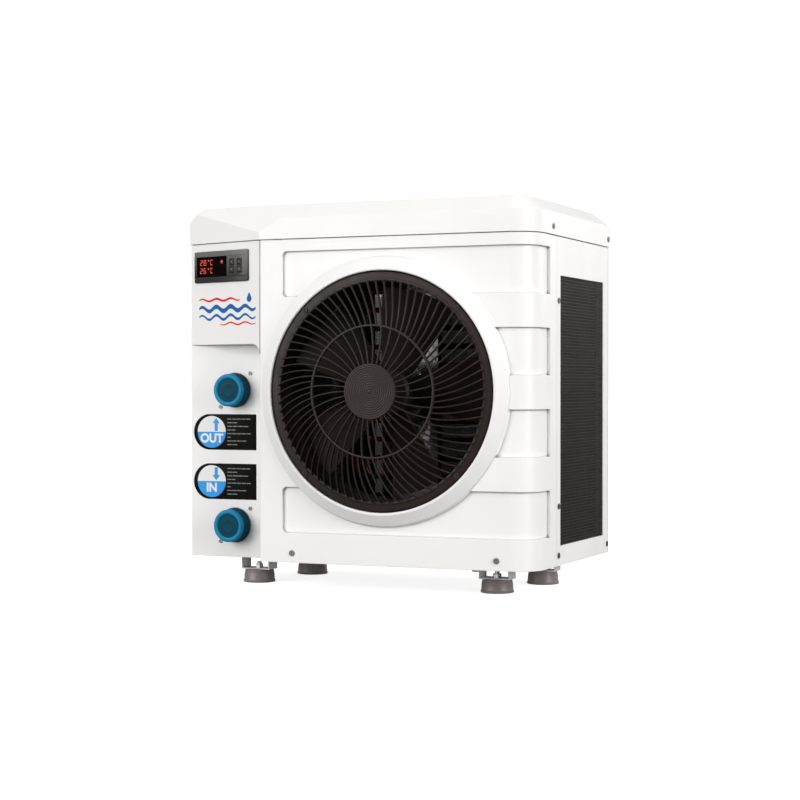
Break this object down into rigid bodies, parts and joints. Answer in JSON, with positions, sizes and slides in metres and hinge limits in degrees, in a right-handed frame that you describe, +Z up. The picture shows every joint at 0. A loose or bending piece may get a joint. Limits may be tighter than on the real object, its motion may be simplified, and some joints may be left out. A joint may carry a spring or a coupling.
{
  "type": "heat pump unit",
  "caption": "Compact pool and spa heat pump: white casing on rubber feet, round front fan guard, side column with controller and capped water ports.",
  "frame": {"origin": "on the floor, under the middle of the unit's box", "axes": "+Z up, the fan guard and the controller face -Y, +X to the right of someone facing them"},
  "size_m": [0.4904, 0.336, 0.483],
  "materials": {
    "white_plastic": "satin moulded",
    "white_steel": "fine textured powder coat",
    "black_plastic": "satin moulded",
    "black_wire": "black coating",
    "grey_rubber": "matt",
    "black_rubber": "matt",
    "blue_plastic": "satin moulded",
    "steel": "ground",
    "zinc_steel": "zinc plated",
    "aluminium": "cast and machined",
    "fin_aluminium": "coated fins",
    "copper": "drawn tube",
    "brass": "machined",
    "titanium": "drawn tube",
    "grey_plastic": "moulded",
    "black_paint": "semi-gloss",
    "green_board": "solder mask",
    "label_print": "printed film"
  },
  "bodies": {
    "chassis": {"rubber_feet": "grey_rubber", "foot_stands": "white_steel", "foot_bolts": "zinc_steel", "base_pan": "white_steel", "drain_spout": "white_plastic", "front_panel": "white_plastic", "control_fascia": "white_plastic", "top_cover": "white_plastic", "right_side_panel": "white_steel", "left_side_panel": "white_steel", "rear_panel": "white_steel", "side_grille_mesh": "black_wire", "rear_grille_mesh": "black_wire", "partition_panel": "zinc_steel", "casing_screws": "zinc_steel", "guard_screws": "black_plastic", "fan_guard": "black_plastic", "fan_shroud": "black_plastic", "motor_stator": "copper", "motor_housing": "aluminium", "motor_bearings": "steel", "motor_bracket": "zinc_steel", "evaporator_fins": "fin_aluminium", "evaporator_end_plates": "zinc_steel", "evaporator_tubes": "copper", "inlet_port": "black_plastic", "outlet_port": "black_plastic", "port_gaskets": "black_rubber", "exchanger_shell": "grey_plastic", "exchanger_caps": "grey_plastic", "titanium_coil": "titanium", "union_ring": "grey_plastic", "flow_switch_body": "black_plastic", "compressor": "black_paint", "compressor_grommets": "black_rubber", "compressor_bolts": "zinc_steel", "compressor_cover": "black_plastic", "accumulator": "black_paint", "four_way_valve": "brass", "expansion_valve": "brass", "copper_pipes": "copper", "electrical_box": "zinc_steel", "power_board": "green_board", "run_capacitor": "aluminium", "terminal_block": "white_plastic", "cable_gland": "black_plastic", "controller_housing": "black_plastic", "controller_bezel": "black_plastic", "labels": "label_print"},
    "fan": {"fan_impeller": "black_plastic", "fan_nut": "zinc_steel", "fan_shaft": "steel", "motor_rotor": "steel"},
    "inlet_cap": {"inlet_cap": "blue_plastic"},
    "outlet_cap": {"outlet_cap": "blue_plastic"},
    "key_1": {"key_1": "black_plastic"},
    "key_2": {"key_2": "black_plastic"},
    "key_3": {"key_3": "black_plastic"},
    "key_4": {"key_4": "black_plastic"},
    "flow_paddle": {"flow_paddle": "steel"}
  },
  "joints": [
    {"name": "fan_spin", "type": "hinge", "parent": "chassis", "child": "fan", "pos_m": [0.0465, -0.129, 0.24875], "axis": [0, 1, 0], "continuous": true},
    {"name": "inlet_cap_pull", "type": "slide", "parent": "chassis", "child": "inlet_cap", "axis": [0, -1, 0], "range_m": [0, 0.06]},
    {"name": "outlet_cap_pull", "type": "slide", "parent": "chassis", "child": "outlet_cap", "axis": [0, -1, 0], "range_m": [0, 0.06]},
    {"name": "flow_paddle_swing", "type": "hinge", "parent": "chassis", "child": "flow_paddle", "pos_m": [-0.1783, -0.067, 0.2823], "axis": [-1, 0, 0], "range_deg": [0, 18], "stiffness_Nm_per_rad": 0.01},
    {"name": "key_1_press", "type": "slide", "parent": "chassis", "child": "key_1", "axis": [0.3279, 0.9447, 0], "range_m": [0, 0.0006], "stiffness_N_per_m": 500},
    {"name": "key_2_press", "type": "slide", "parent": "chassis", "child": "key_2", "axis": [0.3279, 0.9447, 0], "range_m": [0, 0.0006], "stiffness_N_per_m": 500},
    {"name": "key_3_press", "type": "slide", "parent": "chassis", "child": "key_3", "axis": [0.3279, 0.9447, 0], "range_m": [0, 0.0006], "stiffness_N_per_m": 500},
    {"name": "key_4_press", "type": "slide", "parent": "chassis", "child": "key_4", "axis": [0.3279, 0.9447, 0], "range_m": [0, 0.0006], "stiffness_N_per_m": 500}
  ]
}
